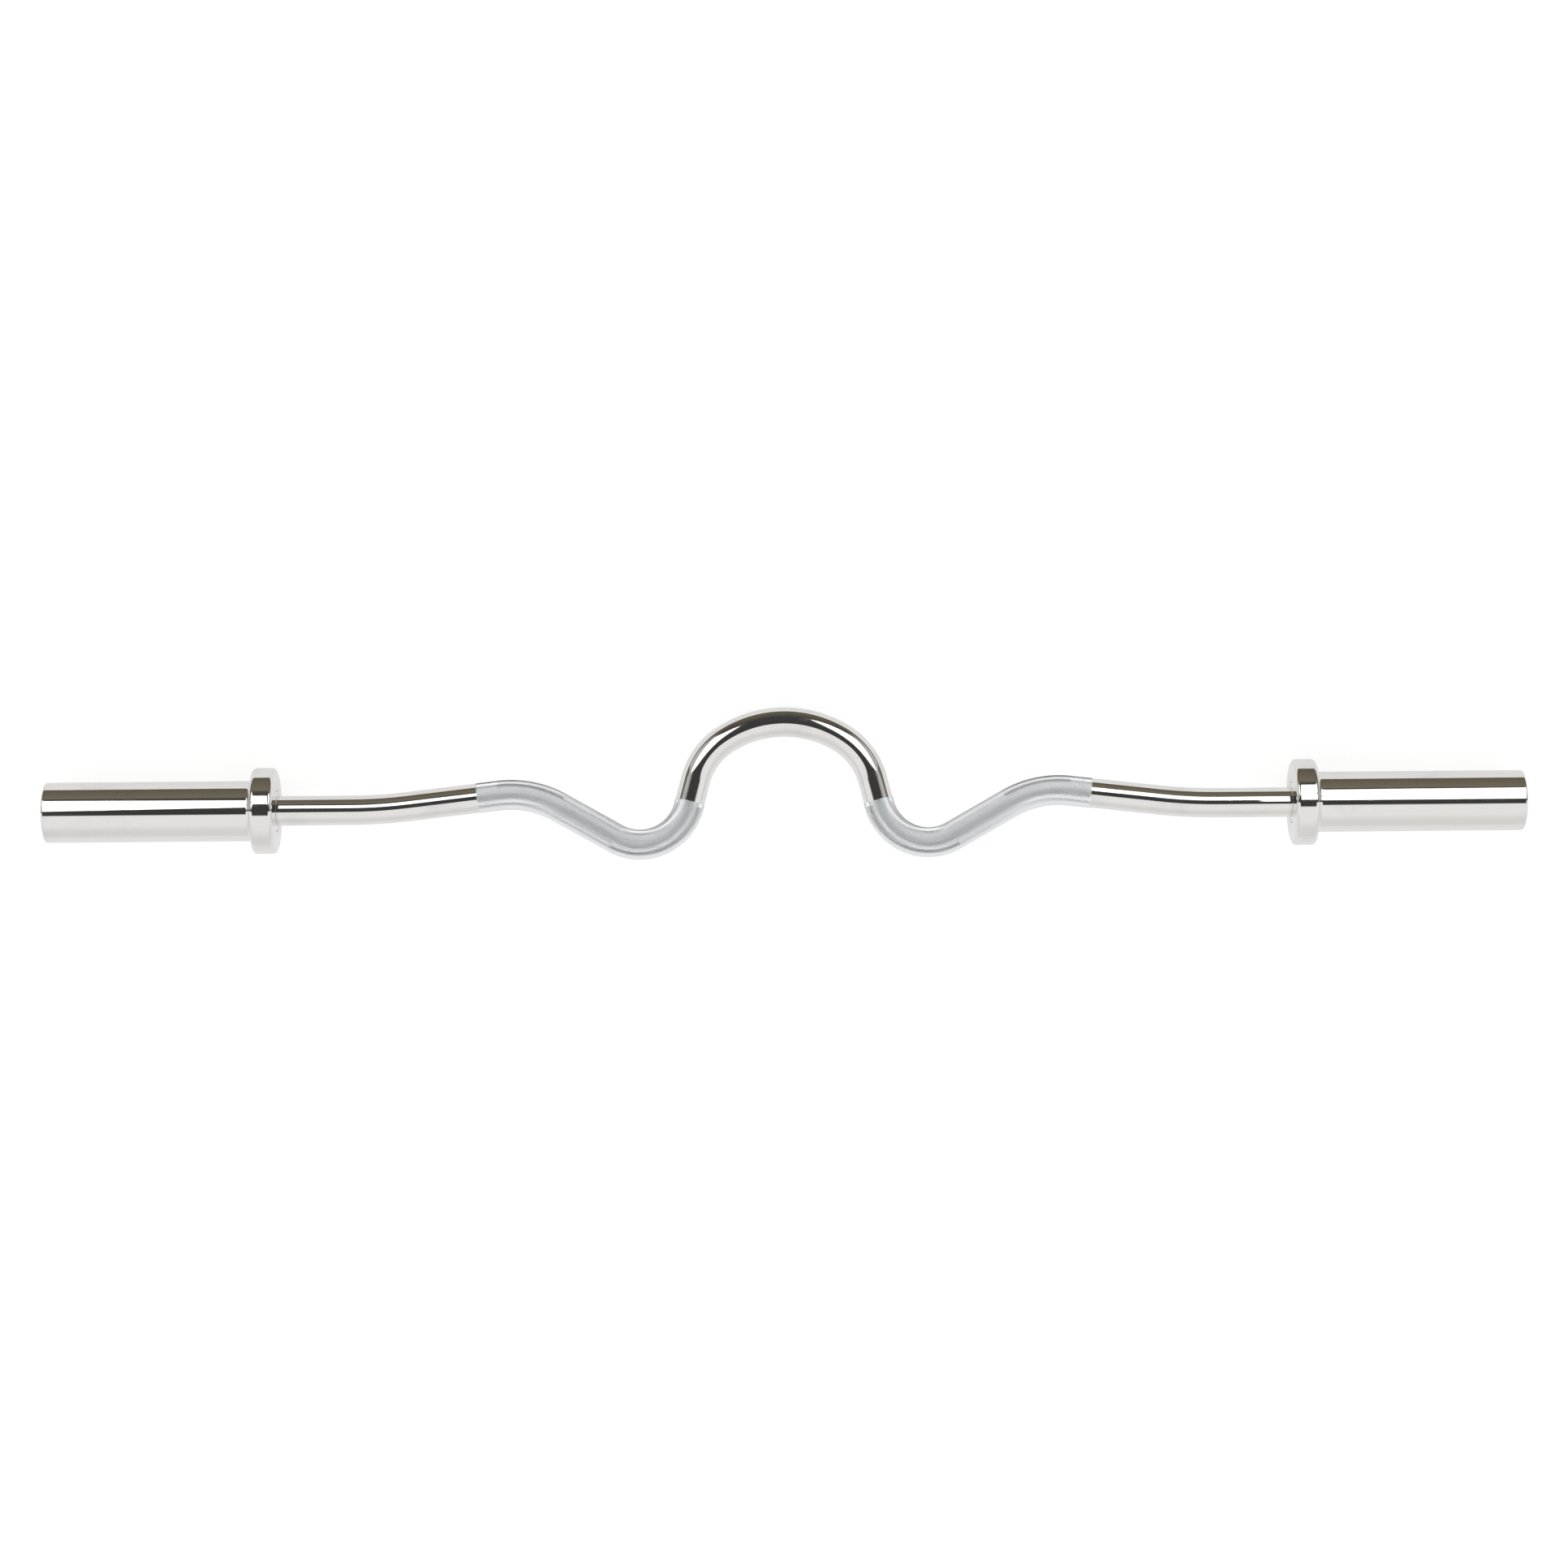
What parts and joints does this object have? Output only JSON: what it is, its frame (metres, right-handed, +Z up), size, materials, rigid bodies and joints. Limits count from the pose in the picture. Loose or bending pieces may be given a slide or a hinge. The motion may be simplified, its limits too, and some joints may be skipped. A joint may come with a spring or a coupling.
{
  "type": "ez curl bar",
  "caption": "Chromed curl bar bent in one plane with a centre arch and knurled grips, and a turning sleeve with a collar at each end for plates.",
  "frame": {"origin": "on the floor under the middle of the bar as it lies on its collars and the crown of its arch", "axes": "+X along the bar towards the right sleeve, +Y towards the arch, +Z up"},
  "size_m": [1.2, 0.1176, 0.07],
  "materials": {
    "chrome": "polished chrome plate, satin over the knurled grips",
    "cap_steel": "faced steel, turning marks",
    "bronze": "machined bearing bronze",
    "zinc_steel": "zinc plated",
    "spring_steel": "phosphated spring steel"
  },
  "bodies": {
    "shaft": {"shaft": "chrome", "left_stop_ring": "chrome", "left_inner_washer": "bronze", "left_outer_washer": "bronze", "left_backing_washer": "zinc_steel", "left_circlip": "spring_steel", "right_stop_ring": "chrome", "right_inner_washer": "bronze", "right_outer_washer": "bronze", "right_backing_washer": "zinc_steel", "right_circlip": "spring_steel"},
    "left_sleeve": {"left_sleeve": "chrome", "left_collar": "chrome", "left_inner_bushing": "bronze", "left_outer_bushing": "bronze", "left_end_cap": "cap_steel"},
    "right_sleeve": {"right_sleeve": "chrome", "right_collar": "chrome", "right_inner_bushing": "bronze", "right_outer_bushing": "bronze", "right_end_cap": "cap_steel"}
  },
  "joints": [
    {"name": "left_sleeve_spin", "type": "hinge", "parent": "shaft", "child": "left_sleeve", "pos_m": [-0.51639, -0.01838, 0.035], "axis": [1, 0, 0], "continuous": true},
    {"name": "right_sleeve_spin", "type": "hinge", "parent": "shaft", "child": "right_sleeve", "pos_m": [0.51639, -0.01838, 0.035], "axis": [1, 0, 0], "continuous": true}
  ]
}
